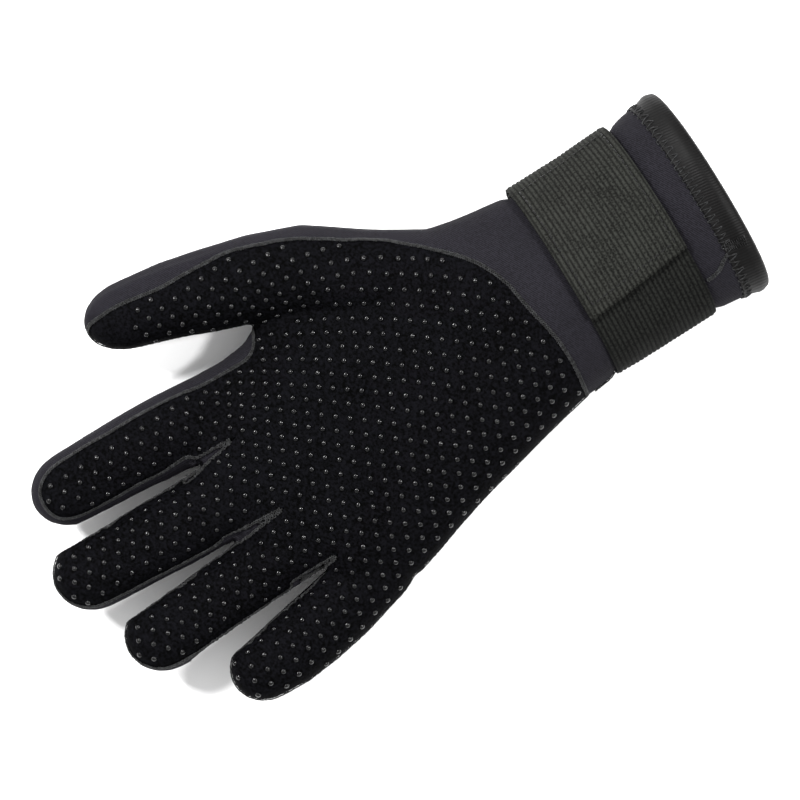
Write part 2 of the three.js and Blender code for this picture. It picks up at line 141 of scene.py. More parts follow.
# The lining lies this far inside, and is left out where the skin is nearer than a share of that
WALL = 0.0023
LEAST_WALL = 0.6
# How far the seam pulls the skin in, and over what width, and how deep the folds at the webs are
SEAM_PULL = 0.0006
SEAM_REACH = 0.0022
FOLD_DEPTH = 0.0012
# Slow and fine waves of the skin, each with its height and its noise scale
WAVES = ((0.00022, 45), (0.00007, 160))


def cad_copy(*names):
    """The CAD solids of these names in one bmesh, with their loose triangles joined."""
    solid = bmesh.new()
    for name in names:
        solid.from_mesh(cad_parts[name].data)
    bmesh.ops.remove_doubles(solid, verts=solid.verts, dist=1e-6)
    solid.normal_update()
    return solid


def shape_of(made):
    """What an object with its modifiers looks like, as a bmesh; the object is removed."""
    bpy.context.scene.collection.objects.link(made)
    seen = made.evaluated_get(bpy.context.evaluated_depsgraph_get())
    mesh = bpy.data.meshes.new_from_object(seen)
    bpy.data.objects.remove(made)
    result = bmesh.new()
    result.from_mesh(mesh)
    bpy.data.meshes.remove(mesh)
    return result


def modified(shape, kind, **settings):
    """The shape after one modifier."""
    mesh = bpy.data.meshes.new("shape")
    shape.to_mesh(mesh)
    shape.free()
    holder = bpy.data.objects.new("shape", mesh)
    modifier = holder.modifiers.new("change", kind)
    for name, value in settings.items():
        setattr(modifier, name, value)
    return shape_of(holder)


def smooth(shape, verts, times):
    for _ in range(times):
        bmesh.ops.smooth_vert(shape, verts=verts, factor=0.5,
                              use_axis_x=True, use_axis_y=True, use_axis_z=True)


def joined_to(seed, neighbours):
    """Everything that hangs together with a seed."""
    found, front = {seed}, [seed]
    while front:
        for other in neighbours(front.pop()):
            if other not in found:
                found.add(other)
                front.append(other)
    return found


fused = cad_copy("back_panel", "palm_panel", "palm_seam", "wrist_seam")
for vert in fused.verts:
    vert.co += vert.normal * CLOSING
skin = modified(fused, "REMESH", mode="VOXEL", voxel_size=VOXEL)
rim = min(v.co.y for v in skin.verts)
bmesh.ops.delete(skin, geom=[f for f in skin.faces if f.calc_center_median().y < rim + RIM_CUT],
                 context="FACES")
outside = joined_to(max(skin.verts, key=lambda v: v.co.z),
                    lambda v: [e.other_vert(v) for e in v.link_edges])
bmesh.ops.delete(skin, geom=[v for v in skin.verts if v not in outside], context="VERTS")
lid = bmesh.ops.holes_fill(skin, edges=[e for e in skin.edges if e.is_boundary], sides=0)["faces"]
bmesh.ops.triangulate(skin, faces=lid)

# The open gap between two fingers, seen from above: its inner end, a place past the fingertips
# and its width there, in metres. A wedge is cut out of the skin along each.
GAPS = [((0.0071, 0.0662), (0.0100, 0.1260), 0.0056),
        ((-0.0207, 0.0693), (-0.0220, 0.1260), 0.0058),
        ((-0.0443, 0.0481), (-0.0505, 0.1010), 0.0075)]
WEDGE_POINT = 0.08      # its width at the inner end, as a share of that at the outer end
WEDGE_FLOOR = -0.01
WEDGE_TOP = 0.06
wedges = bmesh.new()
for inner, outer, wide in GAPS:
    along = (Vector(outer) - Vector(inner)).normalized()
    aside = Vector((-along.y, along.x)) * wide / 2
    corners = [Vector(inner) - aside * WEDGE_POINT, Vector(inner) + aside * WEDGE_POINT,
               Vector(outer) + aside, Vector(outer) - aside]
    prism = wedges.faces.new([wedges.verts.new((*corner, WEDGE_FLOOR)) for corner in corners])
    raised = bmesh.ops.extrude_face_region(wedges, geom=[prism])["geom"]
    for vert in (g for g in raised if isinstance(g, bmesh.types.BMVert)):
        vert.co.z = WEDGE_TOP
bmesh.ops.recalc_face_normals(wedges, faces=wedges.faces)
wedge_mesh = bpy.data.meshes.new("gaps")
wedges.to_mesh(wedge_mesh)
wedges.free()
cutter = bpy.data.objects.new("gaps", wedge_mesh)
bpy.context.scene.collection.objects.link(cutter)
skin = modified(skin, "BOOLEAN", object=cutter, operation="DIFFERENCE", solver="MANIFOLD")
bpy.data.objects.remove(cutter)
bmesh.ops.remove_doubles(skin, verts=skin.verts, dist=0.00008)

# The lid over the cuff's opening, which only the cut needed, comes off again
skin.normal_update()
bmesh.ops.delete(skin, geom=[f for f in skin.faces if f.normal.y < -0.9 and
                             f.calc_center_median().y < rim + RIM_CUT * 2], context="FACES")
smooth(skin, [v for v in skin.verts if not v.is_boundary], SOFTENING)
bmesh.ops.triangulate(skin, faces=skin.faces)
skin = modified(skin, "DECIMATE", ratio=min(1.0, TRIANGLES / len(skin.faces)))
skin.normal_update()
form_tree = BVHTree.FromBMesh(skin)

# The palm panel's edge lies where a point is as near to the one CAD panel as to the other. Each
# gap between two fingers also goes on as a short fold into the palm, where the edge turns back.
# A fold is a narrow V: two places at the web and its point, seen from above, in metres.
FOLDS = [
    ((0.0048, 0.0730), (0.0100, 0.0730), (0.0090, 0.0490)),
    ((-0.0222, 0.0725), (-0.0180, 0.0720), (-0.0194, 0.0465)),
    ((-0.0468, 0.0600), (-0.0424, 0.0600), (-0.0420, 0.0408)),
]
# The folds are only in the palm's side of the glove, above this height
FOLD_FLOOR = 0.02


def inside_fold(place):
    """How deep a place lies inside one of the folds, in metres; outside them it is below 0."""
    if place.z < FOLD_FLOOR:
        return -1
    return max(min(((a[0] - b[0]) * (place.y - b[1]) - (a[1] - b[1]) * (place.x - b[0]))
                   / math.hypot(a[0] - b[0], a[1] - b[1])
                   for a, b in ((p, q), (q, r), (r, p))) for p, q, r in FOLDS)


INDEX_MOVE = 0.0030
INDEX_START = 0.052
THUMB_MOVE = -0.0058
THUMB_START = 0.016


def moved_edge(place):
    """How far the palm panel's edge lies from the middle of the CAD seam: out over the index
    finger, and further in over the outer side of the thumb. Both moves grow towards the tip."""
    on_index = place.y > INDEX_START and 0.014 < place.x < 0.045
    on_tip = place.y > 0.074 and 0.0075 < place.x < 0.045
    if on_index or on_tip:
        return INDEX_MOVE * min(1, (place.y - INDEX_START) / 0.008)
    if place.y > 0.022 and place.x > 0.045:
        from_axis = place.x - 0.0507 - 0.274 * (place.y - 0.017)
        outer_side = max(0, min(1, from_axis / 0.004 + 0.5))
        return THUMB_MOVE * min(1, (place.y - THUMB_START) / 0.028) * outer_side
    return 0


# The edge is cut into the triangles that it crosses, no nearer to a corner than this share
LEAST_SHARE = 0.12
palm_tree = BVHTree.FromBMesh(cad_copy("palm_panel"))
back_tree = BVHTree.FromBMesh(cad_copy("back_panel"))
skin.verts.index_update()
side = [palm_tree.find_nearest(v.co)[3] - back_tree.find_nearest(v.co)[3] - moved_edge(v.co)
        for v in skin.verts]
for _ in range(3):
    side = [sum((side[e.other_vert(v).index] for e in v.link_edges), side[v.index])
            / (len(v.link_edges) + 1) for v in skin.verts]
level = {v: max(side[v.index], inside_fold(v.co)) for v in skin.verts}
on_seam = []
for edge in [e for e in skin.edges if (level[e.verts[0]] < 0) != (level[e.verts[1]] < 0)]:
    start, end = edge.verts
    share = level[start] / (level[start] - level[end])
    share = max(LEAST_SHARE, min(1 - LEAST_SHARE, share))
    on_seam.append(bmesh.utils.edge_split(edge, start, share)[1])
level.update({v: 0 for v in on_seam})
bmesh.ops.connect_verts(skin, verts=on_seam)
bmesh.ops.triangulate(skin, faces=[f for f in skin.faces if len(f.verts) > 3])
skin.normal_update()
in_palm = {f for f in skin.faces if sum(level[v] for v in f.verts) < 0}
seed = min(in_palm, key=lambda f: (f.calc_center_median() - Vector((0, 0, 0.04))).length)
palm_faces = joined_to(seed, lambda f: [o for e in f.edges for o in e.link_faces if o in in_palm])
# Small islands on either side of the edge join the panel round them
rest = joined_to(next(f for f in skin.faces if f.calc_center_median().z < 0.004),
                 lambda f: [o for e in f.edges for o in e.link_faces if o not in palm_faces])
palm_faces = {f for f in skin.faces if f not in rest}


def chains(edges):
    """The paths that a set of edges makes, as lists of vertices."""
    found, left = [], dict.fromkeys(edges)
    while left:
        start = next(iter(left))
        del left[start]
        chain = list(start.verts)
        for _ in range(2):
            step = True
            while step:
                step = next((e for e in chain[-1].link_edges if e in left), None)
                if step:
                    del left[step]
                    chain.append(step.other_vert(chain[-1]))
            chain.reverse()
        found.append(chain)
    return found


panel_edges = [e for e in skin.edges if len(e.link_faces) == 2 and
               (e.link_faces[0] in palm_faces) != (e.link_faces[1] in palm_faces)]
seam_loop = max(chains(panel_edges), key=len)
if seam_loop[0] is seam_loop[-1]:
    seam_loop.pop()


PATH_STEP = 0.0008


def length_of(points):
    return sum((b - a).length for a, b in zip(points, points[1:]))


def resampled(points, step, closed=False):
    """The same path as points a step apart."""
    line = points + points[:1] if closed else points
    total = length_of(line)
    count = max(2, round(total / step))
    result, travelled, i = [line[0].copy()], 0.0, 0
    for k in range(1, count):
        target = total * k / count
        while travelled + (line[i + 1] - line[i]).length < target:
            travelled += (line[i + 1] - line[i]).length
            i += 1
        share = (target - travelled) / (line[i + 1] - line[i]).length
        result.append(line[i].lerp(line[i + 1], share))
    if not closed:
        result.append(line[-1].copy())
    return result


palm_path = resampled([v.co.copy() for v in seam_loop], PATH_STEP, closed=True)
for _ in range(4):
    palm_path = [(palm_path[i - 1] + palm_path[i] * 2 + palm_path[(i + 1) % len(palm_path)]) / 4
                 for i in range(len(palm_path))]
seam_places = KDTree(len(palm_path))
for i, point in enumerate(palm_path):
    seam_places.insert(point, i)
seam_places.balance()
TOUCHING = 0.0001
# Which way the form faces at each point, free of the thin triangles that the seam's cut leaves
skin.verts.index_update()
near_faces = [sorted(form_tree.find_nearest_range(v.co, TOUCHING), key=lambda hit: hit[2])
              for v in skin.verts]
facing = [sum((hit[1] for hit in hits), Vector()).normalized() for hits in near_faces]
around = [sorted(e.other_vert(v).index for e in v.link_edges) for v in skin.verts]
for _ in range(2):
    facing = [sum((facing[k] for k in near), facing[i] * 2).normalized()
              for i, near in enumerate(around)]
for vert in skin.verts:
    distance = seam_places.find(vert.co)[2]
    pull = SEAM_PULL * math.exp(-(distance / SEAM_REACH) ** 2)
    if inside_fold(vert.co) > 0:
        pull += FOLD_DEPTH
    swell = sum(height * noise.noise(vert.co * scale) for height, scale in WAVES)
    vert.co += facing[vert.index] * (swell - pull - CLOSING)
skin.normal_update()
skin_tree = BVHTree.FromBMesh(skin)
for i, point in enumerate(palm_path):
    palm_path[i] = skin_tree.find_nearest(point)[0]


def jersey(name, dark, light, stitch, wale, gloss, sheen):
    """Neoprene with a knitted nylon face: matt, soft at glancing light, its knit in low relief. A
    stitch is really 0.4 mm wide and is drawn 0.6 to 1 mm wide, so that it shows. Wale is the share
    of its ribs in the pattern, and the rest is fleck."""
    material, tree = new_material(name)
    place = add_node(tree, "ShaderNodeTexCoord")
    turned = add_node(tree, "ShaderNodeMapping", {
        "Vector": place.outputs["Object"], "Rotation": (0, 0, math.radians(62))})
    fleck = add_node(tree, "ShaderNodeTexNoise", {
        "Vector": place.outputs["Object"], "Scale": 0.8 / stitch, "Detail": 2.0, "Roughness": 0.7})
    wales = add_node(tree, "ShaderNodeTexWave", {
        "Vector": turned.outputs["Vector"], "Scale": 0.314 / stitch, "Distortion": 1.6,
        "Detail": 1.0, "Detail Scale": 2.0}, wave_type="BANDS", bands_direction="X")
    patches = add_node(tree, "ShaderNodeTexNoise", {
        "Vector": place.outputs["Object"], "Scale": 55.0, "Detail": 2.0})
    knit = add_node(tree, "ShaderNodeMix", {
        "Factor": wale, "A": fleck.outputs["Fac"], "B": wales.outputs["Fac"]})
    worn = add_node(tree, "ShaderNodeMix", {
        "Factor": 0.15, "A": knit.outputs["Result"], "B": patches.outputs["Fac"]})
    level = add_node(tree, "ShaderNodeMapRange", {
        "Value": worn.outputs["Result"], "From Min": 0.38, "From Max": 0.62})
    colour = add_node(tree, "ShaderNodeMix", {
        "Factor": level.outputs["Result"], "A": linear(dark), "B": linear(light)},
        data_type="RGBA")
    relief = add_node(tree, "ShaderNodeBump", {
        "Height": knit.outputs["Result"], "Strength": 0.4, "Distance": 0.0003})
    surface = add_node(tree, "ShaderNodeBsdfPrincipled", {
        "Base Color": colour.outputs["Result"], "Roughness": 0.8, "Specular IOR Level": gloss,
        "Sheen Weight": sheen, "Sheen Roughness": 0.5, "Sheen Tint": linear(light),
        "Normal": relief.outputs["Normal"]})
    add_node(tree, "ShaderNodeOutputMaterial", {"Surface": surface.outputs["BSDF"]})
    return material


def new_piece(name, shape, materials, slot, *stands_for):
    """Makes a finished piece of the glove from its shape."""
    mesh = bpy.data.meshes.new(name)
    shape.to_mesh(mesh)
    shape.free()
    for material in materials:
        mesh.materials.append(material)
    mesh.shade_smooth()
    piece = bpy.data.objects.new(name, mesh)
    bpy.context.scene.collection.objects.link(piece)
    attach(piece, "root")
    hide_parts(*stands_for)
    return piece


charcoal_jersey = jersey("charcoal_nylon_jersey_on_neoprene", "#100f12", "#201f24",
                         stitch=0.0006, wale=0.3, gloss=0.05, sheen=0.05)
black_jersey = jersey("black_nylon_jersey_on_neoprene", "#010101", "#0a0a0d",
                      stitch=0.0009, wale=0.03, gloss=0.02, sheen=0.0)
lining = jersey("black_nylon_lining", "#060608", "#0e0e12",
                stitch=0.001, wale=0.2, gloss=0.03, sheen=0.02)

skin.faces.index_update()
palm_numbers = {f.index for f in palm_faces}
for name, is_palm, material, slot, node in (
        ("palm_skin", True, black_jersey, "black_neoprene", "palm_panel"),
        ("back_skin", False, charcoal_jersey, "charcoal_neoprene", "back_panel")):
    half = skin.copy()
    inner = {}
    for vert, out in zip(half.verts, facing):
        place = vert.co - out * WALL
        spot, normal, _, distance = skin_tree.find_nearest(place)
        if distance > WALL * LEAST_WALL and (place - spot).dot(normal) < 0:
            inner[vert] = place
    bmesh.ops.delete(half, geom=[f for f in half.faces if (f.index in palm_numbers) != is_palm],
                     context="FACES")
    outer = list(half.faces)
    lined = {v: half.verts.new(inner[v]) for v in list(half.verts) if v in inner}
    for face in outer:
        if all(v in lined for v in face.verts):
            half.faces.new([lined[v] for v in reversed(face.verts)]).material_index = 1
    new_piece(name, half, [material, lining], slot, node)

# Grip dots: about 750 small domes of silicone printed in a square grid on the palm panel while it
# lay flat, so the grid bends with the hand. Each dot shows the two soft boxes as bright points.
DOT_RADIUS = 0.00100
DOT_HEIGHT = 0.00072
DOT_CLEAR_OF_SEAM = 0.0023
DOT_APART = 0.0034
DOT_LEAST_TURN = 0.15      # no dot is on a surface that faces up less than this
DOT_PLANE = 0.030
DOT_ROWS = range(-26, 16)
DOT_COLUMNS = range(-12, 28)
# The grid on each part of the panel: the part's bounds, the middle dot's number along the two
# rows, and its place on the dot plane in millimetres as a power series in tens of dots.
DOT_GRIDS = [
    {"part": (31, 80, -40, 60), "middle": (-8, -5), "order": 3,
     "x": (46.0, -38.9, 19.8, 0.5, -1.7, -14.8, 10.9, -6.3, -2.2, -7.2),
     "y": (23.3, -8.9, 9.4, 6.1, -50.9, 14.2, 5.8, 0.1, 4.6, 0.8)},
    {"part": (7, 40, 50, 140), "middle": (-18, 11), "order": 2,
     "x": (23.2, -40.4, -3.8, -38.8, -7.7, -2.1), "y": (77.2, 28.5, 6.6, -31.3, 9.0, 2.3)},
    {"part": (-20.5, 7, 52, 140), "middle": (-16, 16), "order": 2,
     "x": (-2.6, -37.3, -14.6, -34.9, -27.0, -12.3), "y": (79.9, 20.8, 19.5, -34.7, 33.1, 15.6)},
    {"part": (-45.5, -20.5, 48, 140), "middle": (-12, 20), "order": 2,
     "x": (-35.1, -42.3, -6.6, -34.3, -12.3, -4.3), "y": (75.8, 22.2, 13.0, -34.8, 19.5, 8.4)},
    {"part": (-90, -42, 44, 140), "middle": (-9, 21), "order": 2,
     "x": (-50.5, -45.0, -0.3, -34.1, 3.1, 5.5), "y": (66.4, 15.2, 0.7, -40.2, 2.0, 1.9)},
    {"part": (-90, 40, -80, 60), "middle": (-1, 6), "order": 3,
     "x": (-11.6, -44.0, 1.2, 0.5, -30.4, -3.2, 5.7, -1.1, 6.7, 1.1),
     "y": (6.7, 21.2, 0.1, -1.7, -38.3, -0.4, -3.3, -1.5, -2.6, 0.9)},
]

dot = bmesh.new()
bmesh.ops.create_uvsphere(dot, u_segments=10, v_segments=8, radius=1)
bmesh.ops.delete(dot, geom=[v for v in dot.verts if v.co.z < -0.4], context="VERTS")
dot_mesh = bpy.data.meshes.new("dot")
dot.to_mesh(dot_mesh)
dot.free()
dots = bmesh.new()
placed = []
for grid in DOT_GRIDS:
    order = grid["order"]
    powers = [(a, b) for a in range(order + 1) for b in range(order + 1 - a)]
    for i in DOT_ROWS:
        for j in DOT_COLUMNS:
            u, v = (i - grid["middle"][0]) / 10, (j - grid["middle"][1]) / 10
            x, y = (sum(c * u ** a * v ** b for c, (a, b) in zip(grid[way], powers))
                    for way in "xy")
            x_low, x_high, y_low, y_high = grid["part"]
            if not (x_low < x < x_high and y_low < y < y_high):
                continue
            aim = Vector((x / 1000, y / 1000, DOT_PLANE)) - camera.location
            spot, normal, index, _ = skin_tree.ray_cast(camera.location, aim.normalized())
            if spot is None or index not in palm_numbers or normal.z < DOT_LEAST_TURN:
                continue
            if seam_places.find(spot)[2] < DOT_CLEAR_OF_SEAM:
                continue
            if any((spot - other).length < DOT_APART for other in placed):
                continue
            placed.append(spot)
            start = len(dots.verts)
            dots.from_mesh(dot_mesh)
            dots.verts.ensure_lookup_table()
            turned = normal.to_track_quat("Z", "Y").to_matrix()
            for vert in dots.verts[start:]:
                vert.co = spot + turned @ Vector((vert.co.x * DOT_RADIUS, vert.co.y * DOT_RADIUS,
                                                  vert.co.z * DOT_HEIGHT))
bpy.data.meshes.remove(dot_mesh)

silicone, tree = new_material("black_silicone")
place = add_node(tree, "ShaderNodeTexCoord")
bloom = add_node(tree, "ShaderNodeTexNoise", {"Vector": place.outputs["Object"], "Scale": 900.0})
gloss = add_node(tree, "ShaderNodeMapRange", {
    "Value": bloom.outputs["Fac"], "To Min": 0.08, "To Max": 0.20})
surface = add_node(tree, "ShaderNodeBsdfPrincipled", {
    "Base Color": linear("#020203"), "Roughness": gloss.outputs["Result"], "IOR": 1.43,
    "Specular IOR Level": 0.42})
add_node(tree, "ShaderNodeOutputMaterial", {"Surface": surface.outputs["BSDF"]})
new_piece("grip_dots", dots, [silicone], "black_neoprene")

# Overlock seam round the palm panel: two spun polyester threads thrown over the two cut edges,
# one loop after another, so that it reads as a fuzzy grey cord 2.3 mm wide.
SEAM_HALF = 0.00092
STITCH = 0.0015
STITCH_POINTS = 5
THREAD = 0.00022
ARCH = 0.00042
chance = random.Random(7)


def thread(lines, radius, closed=False):
    """Round threads along lines, as a bmesh."""
    curve = bpy.data.curves.new("thread", "CURVE")
    curve.dimensions = "3D"
    curve.bevel_depth = radius
    curve.bevel_resolution = 1
    curve.use_fill_caps = not closed
    for line in lines:
        spline = curve.splines.new("POLY")
        spline.points.add(len(line) - 1)
        for point, place in zip(spline.points, line):
            point.co = (*place, 1)
        spline.use_cyclic_u = closed
    shape = shape_of(bpy.data.objects.new("thread", curve))
    bpy.data.curves.remove(curve)
    bmesh.ops.remove_doubles(shape, verts=shape.verts, dist=1e-7)
    return shape


def overlock(path, closed, phase):
    """The line of one thread that is thrown from side to side over a seam."""
    total = length_of(path + path[:1] if closed else path)
    stitches = max(2, round(total / STITCH))
    steps = resampled(path, total / (stitches * STITCH_POINTS), closed)
    line = []
    for k, place in enumerate(steps):
        ahead = steps[(k + 1) % len(steps)] if closed else steps[min(k + 1, len(steps) - 1)]
        behind = steps[k - 1] if closed else steps[max(k - 1, 0)]
        ground, normal, _, _ = skin_tree.find_nearest(place)
        across = normal.cross((ahead - behind).normalized()).normalized()
        turn = 2 * math.pi * (k / STITCH_POINTS + phase)
        swing = math.sin(turn) * SEAM_HALF * chance.uniform(0.85, 1.15)
        spot, normal, _, _ = skin_tree.find_nearest(ground + across * swing)
        arch = ARCH * (1 - 0.6 * (swing / SEAM_HALF) ** 2)
        line.append(spot + normal * (arch + chance.uniform(-0.00008, 0.00014)))
    count = len(line)
    return [line[k] if not closed and k in (0, count - 1) else
            (line[k - 1] + line[k] * 2 + line[(k + 1) % count]) / 4 for k in range(count)]


def spun_thread(name, dark, light):
    """Spun polyester: short fibres stand out of the ply, so it is matt and mottled."""
    material, tree = new_material(name)
    place = add_node(tree, "ShaderNodeTexCoord")
    fuzz = add_node(tree, "ShaderNodeTexNoise", {
        "Vector": place.outputs["Object"], "Scale": 900.0, "Detail": 3.0, "Roughness": 0.7})
    shade = add_node(tree, "ShaderNodeMapRange", {
        "Value": fuzz.outputs["Fac"], "From Min": 0.44, "From Max": 0.68})
    colour = add_node(tree, "ShaderNodeMix", {
        "Factor": shade.outputs["Result"], "A": linear(dark), "B": linear(light)},
        data_type="RGBA")
    ply = add_node(tree, "ShaderNodeBump", {
        "Height": fuzz.outputs["Fac"], "Strength": 0.6, "Distance": 0.0002})
    surface = add_node(tree, "ShaderNodeBsdfPrincipled", {
        "Base Color": colour.outputs["Result"], "Roughness": 0.7, "Sheen Weight": 0.1,
        "Specular IOR Level": 0.2, "Normal": ply.outputs["Normal"]})
    add_node(tree, "ShaderNodeOutputMaterial", {"Surface": surface.outputs["BSDF"]})
    return material


grey_thread = spun_thread("grey_spun_polyester_thread", "#020202", "#2c2d2e")
black_thread = spun_thread("black_spun_polyester_thread", "#010101", "#070706")
palm_loops = [overlock(palm_path, True, phase) for phase in (0.0, 0.5)]
new_piece("palm_overlock", thread(palm_loops, THREAD, True), [grey_thread],
          "seam_thread", "palm_seam")

# Overlock seam that closes the sleeve, from the palm panel's corner to the cuff. The strap and
# the binding lie over it, so only two short runs of it show.
strap_low, strap_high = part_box("wrist_strap")
tab_low, tab_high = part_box("strap_tab")
bound_low, bound_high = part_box("cuff_binding")
seam_low, seam_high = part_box("wrist_seam")
SLEEVE_STEPS = 24
seam_cad = cad_copy("wrist_seam")
sleeve_line = []
for k in range(SLEEVE_STEPS):
    y = seam_low.y + (seam_high.y - seam_low.y) * (k + 0.5) / SLEEVE_STEPS
    slab = [v.co for v in seam_cad.verts if abs(v.co.y - y) < 0.006]
    if slab:
        middle = sum(slab, Vector()) / len(slab)
        sleeve_line.append(skin_tree.find_nearest(Vector((middle.x, y, middle.z)))[0])
seam_cad.free()
sleeve_line = resampled(sleeve_line, PATH_STEP)
runs = [[p for p in sleeve_line if p.y > strap_high.y + 0.0006],
        [p for p in sleeve_line if bound_high.y - 0.002 < p.y < strap_low.y - 0.0006]]
sleeve_loops = [overlock(run, False, phase) for run in runs if len(run) > 4
                for phase in (0.0, 0.5)]
new_piece("sleeve_overlock", thread(sleeve_loops, THREAD), [grey_thread],
          "seam_thread", "wrist_seam")

# Wrist strap: 38 mm elastic webbing sewn round the wrist. Rubber cords run round it under the
# woven face and stand up as ribs 1.6 mm apart, and its two edges are flat selvages.
STRAP_WIDTH = 0.0385
RIB_PITCH = 0.00163
RIB_HEIGHT = 0.00034
SELVAGE = 0.0008
STRAP_INNER = 0.0003
STRAP_OUTER = 0.0016
CROWN = 0.0003
CLEAR_OF_WRIST = 0.06
SPIN_STEP = 2.5
axis = Vector(((strap_low.x + strap_high.x) / 2, 0, (strap_low.z + strap_high.z) / 2))
sleeve_end = min(v.co.y for v in skin.verts) + 0.001


def wrist_point(y, angle, height, least_y=None):
    """The place a height above the skin, at an angle round the wrist from the thumb side. What
    lies beyond least_y towards the rim takes the skin's place there."""
    out = Vector((math.cos(angle), 0, math.sin(angle)))
    start = Vector((axis.x, max(y, least_y or sleeve_end), axis.z))
    hit = skin_tree.ray_cast(start + out * 0.09, -out)[0]
    return Vector((axis.x, y, axis.z)) + out * ((hit - start).length + height)


def round_wrist(rows, turns=(0.0, 360.0), lean=0.0, least_y=None):
    """A band round the wrist: its section, as rows of (place along the hand, height over the
    skin), is spun round the wrist and then laid on the skin. Lean slants its far end."""
    band = bmesh.new()
    section = [band.verts.new((axis.x + CLEAR_OF_WRIST + height, y, axis.z)) for y, height in rows]
    edges = [band.edges.new(pair) for pair in zip(section, section[1:] + section[:1])]
    whole = turns[1] - turns[0]
    full = whole >= 360
    bmesh.ops.spin(band, geom=section + edges, cent=axis, axis=(0, -1, 0), dvec=(0, 0, 0),
                   angle=math.radians(whole), steps=round(whole / SPIN_STEP),
                   use_merge=full, use_duplicate=False)
    middle = (rows[0][0] + max(rows, key=lambda r: abs(r[0] - rows[0][0]))[0]) / 2
    for vert in band.verts:
        across = vert.co - axis
        height = math.hypot(across.x, across.z) - CLEAR_OF_WRIST
        angle = math.atan2(across.z, across.x) % (2 * math.pi)
        share = angle / math.radians(whole)
        slant = math.radians(lean) * share * (vert.co.y - middle) / STRAP_WIDTH
        vert.co = wrist_point(vert.co.y, math.radians(turns[0]) + angle + slant, height, least_y)
    if not full:
        bmesh.ops.holes_fill(band, edges=[e for e in band.edges if e.is_boundary], sides=0)
    bmesh.ops.recalc_face_normals(band, faces=band.faces)
    return band


def rib_places(low, high):
    """The place of the first groove between the ribs, and the ribs' pitch."""
    ribbed = high - low - SELVAGE * 2
    return low + SELVAGE, ribbed / round(ribbed / RIB_PITCH)


def webbing_rows(low, high, inner, outer, crown):
    """The section of ribbed webbing: a flat under side and an upper side with its ribs."""
    first_groove, pitch = rib_places(low, high)
    count = round((high - low - SELVAGE * 2) / pitch)
    rows = [(low + 0.0002, inner), ((low + high) / 2, inner), (high - 0.0002, inner),
            (high, (inner + outer) / 2), (high - 0.0002, outer - 0.0001)]
    for k in range(count, 0, -1):
        for share, rise in ((1.0, 0.0), (0.78, 0.75), (0.5, 1.0), (0.22, 0.75)):
            y = first_groove + (k - 1 + share) * pitch
            bulge = crown * (1 - ((y - low) / (high - low) * 2 - 1) ** 2)
            rows.append((y, outer + bulge + RIB_HEIGHT * rise))
    return rows + [(low + SELVAGE, outer), (low + 0.0002, outer - 0.0001),
                   (low, (inner + outer) / 2)]


def elastic(name, dark, light, low, high):
    """Woven elastic: dull polyester over rubber cords. Its weft crosses the ribs every 0.5 mm and
    is drawn every 0.8 mm, so that it shows."""
    first_groove, pitch = rib_places(low, high)
    material, tree = new_material(name)
    place = add_node(tree, "ShaderNodeTexCoord")
    weft = add_node(tree, "ShaderNodeTexVoronoi", {
        "Vector": place.outputs["Object"], "Scale": 1250.0, "Randomness": 0.8})
    fibre = add_node(tree, "ShaderNodeTexNoise", {
        "Vector": place.outputs["Object"], "Scale": 1500.0, "Detail": 2.0, "Roughness": 0.7})
    patches = add_node(tree, "ShaderNodeTexNoise", {
        "Vector": place.outputs["Object"], "Scale": 90.0, "Detail": 2.0})
    # Painted shade: the colour is darkened to a fifth in the grooves between the ribs, as if shade
    # lay there; the mesh has the ribs as well
    along = add_node(tree, "ShaderNodeSeparateXYZ", {"Vector": place.outputs["Object"]})
    from_edge = add_node(tree, "ShaderNodeMath", {0: along.outputs["Y"], 1: first_groove},
                         operation="SUBTRACT")
    to_groove = add_node(tree, "ShaderNodeMath", {0: from_edge.outputs["Value"], 1: pitch / 2},
                         operation="PINGPONG")
    ribs = add_node(tree, "ShaderNodeMapRange", {
        "Value": to_groove.outputs["Value"], "From Min": pitch * 0.06, "From Max": pitch * 0.36,
        "To Min": 0.2})
    woven = add_node(tree, "ShaderNodeMix", {
        "Factor": 0.5, "A": weft.outputs["Distance"], "B": fibre.outputs["Fac"]})
    worn = add_node(tree, "ShaderNodeMix", {
        "Factor": 0.2, "A": woven.outputs["Result"], "B": patches.outputs["Fac"]})
    fibres = add_node(tree, "ShaderNodeMapRange", {
        "Value": worn.outputs["Result"], "From Min": 0.34, "From Max": 0.56, "To Min": 0.1})
    level = add_node(tree, "ShaderNodeMath", {
        0: fibres.outputs["Result"], 1: ribs.outputs["Result"]}, operation="MULTIPLY")
    colour = add_node(tree, "ShaderNodeMix", {
        "Factor": level.outputs["Value"], "A": linear(dark), "B": linear(light)},
        data_type="RGBA")
    relief = add_node(tree, "ShaderNodeBump", {
        "Height": woven.outputs["Result"], "Strength": 0.6, "Distance": 0.0003})
    surface = add_node(tree, "ShaderNodeBsdfPrincipled", {
        "Base Color": colour.outputs["Result"], "Roughness": 0.75, "Specular IOR Level": 0.04,
        "Normal": relief.outputs["Normal"]})
    add_node(tree, "ShaderNodeOutputMaterial", {"Surface": surface.outputs["BSDF"]})
    return material


strap_elastic = elastic("black_woven_elastic", "#050505", "#1c1d1b", strap_low.y, strap_high.y)
tab_elastic = elastic("grey_black_woven_elastic", "#0c0c0b", "#292a27", tab_low.y, tab_high.y)
strap_rows = webbing_rows(strap_low.y, strap_high.y, STRAP_INNER, STRAP_OUTER, CROWN)
new_piece("ribbed_strap", round_wrist(strap_rows), [strap_elastic],
          "elastic_webbing", "wrist_strap")

# Tab: the free end of the strap, which closes over it with hook and loop. A row of stitches runs
# round it 2.5 mm inside its edges, and its end is cut and folded under.
TAB_INNER = 0.0021
TAB_OUTER = 0.0034
tab_cad = cad_copy("strap_tab")


